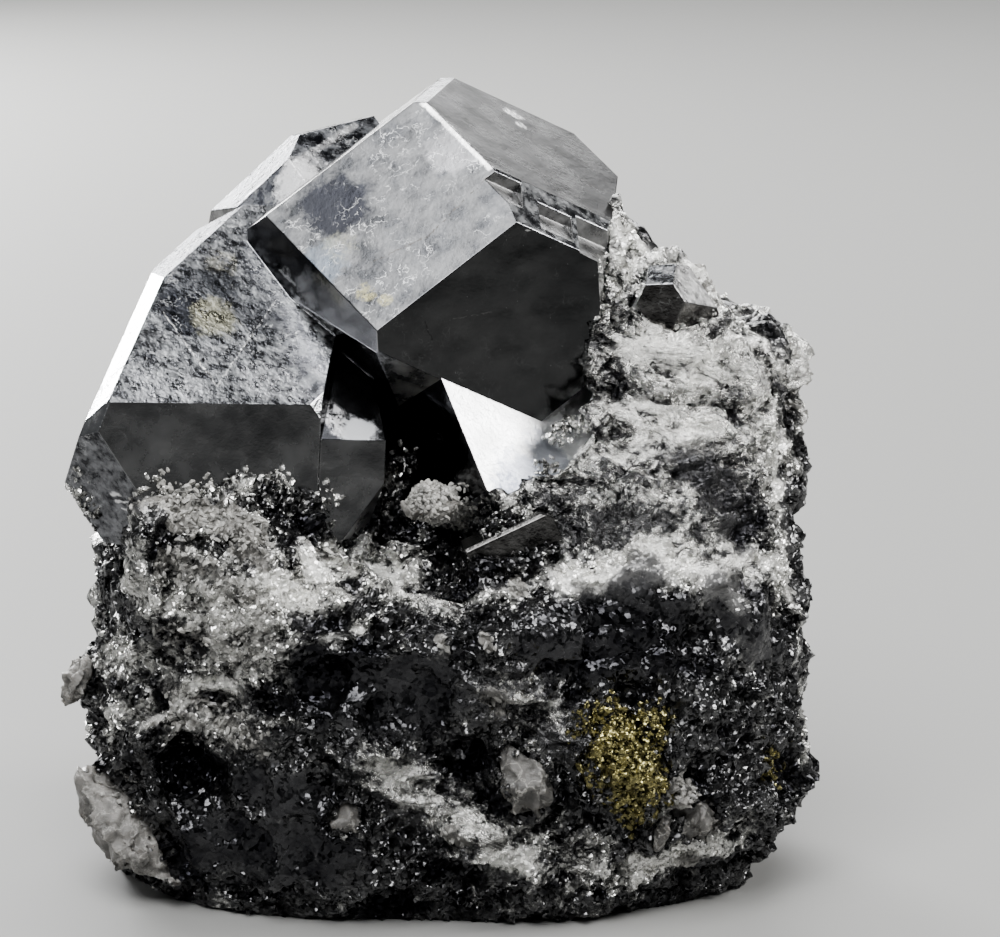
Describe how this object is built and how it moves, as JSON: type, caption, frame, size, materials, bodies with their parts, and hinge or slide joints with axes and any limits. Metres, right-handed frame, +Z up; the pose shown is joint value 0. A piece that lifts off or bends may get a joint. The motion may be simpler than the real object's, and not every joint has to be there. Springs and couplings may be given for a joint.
{
  "type": "skutterudite mineral specimen",
  "caption": "Intergrown metallic skutterudite crystals on a rough granular rock, with patches of pale calcite and brassy chalcopyrite.",
  "frame": {"origin": "middle of the specimen's bounding box in plan, at the height of the flat underside it rests on", "axes": "+Z up, the front with the large crystals' mirror faces towards -Y, the right shoulder of the rock towards +X"},
  "size_m": [0.0406, 0.0302, 0.0414],
  "materials": {
    "massive_skutterudite": "granular, dull metallic grey with bright glints",
    "crystal_skutterudite": "mirror-bright to etched grey metallic crystal faces",
    "calcite_white": "pale, waxy and slightly translucent",
    "brassy_chalcopyrite": "granular brassy metallic"
  },
  "bodies": {
    "root": {"crystal_group": "crystal_skutterudite", "right_crystal": "crystal_skutterudite", "pocket_crystal": "crystal_skutterudite", "calcite_corner": "calcite_white", "calcite_front": "calcite_white", "calcite_pocket": "calcite_white", "calcite_left_edge": "calcite_white", "calcite_lower_right": "calcite_white", "calcite_sliver": "calcite_white", "calcite_low": "calcite_white", "chalcopyrite": "brassy_chalcopyrite", "chalcopyrite_small": "brassy_chalcopyrite", "matrix": "massive_skutterudite"}
  },
  "joints": []
}
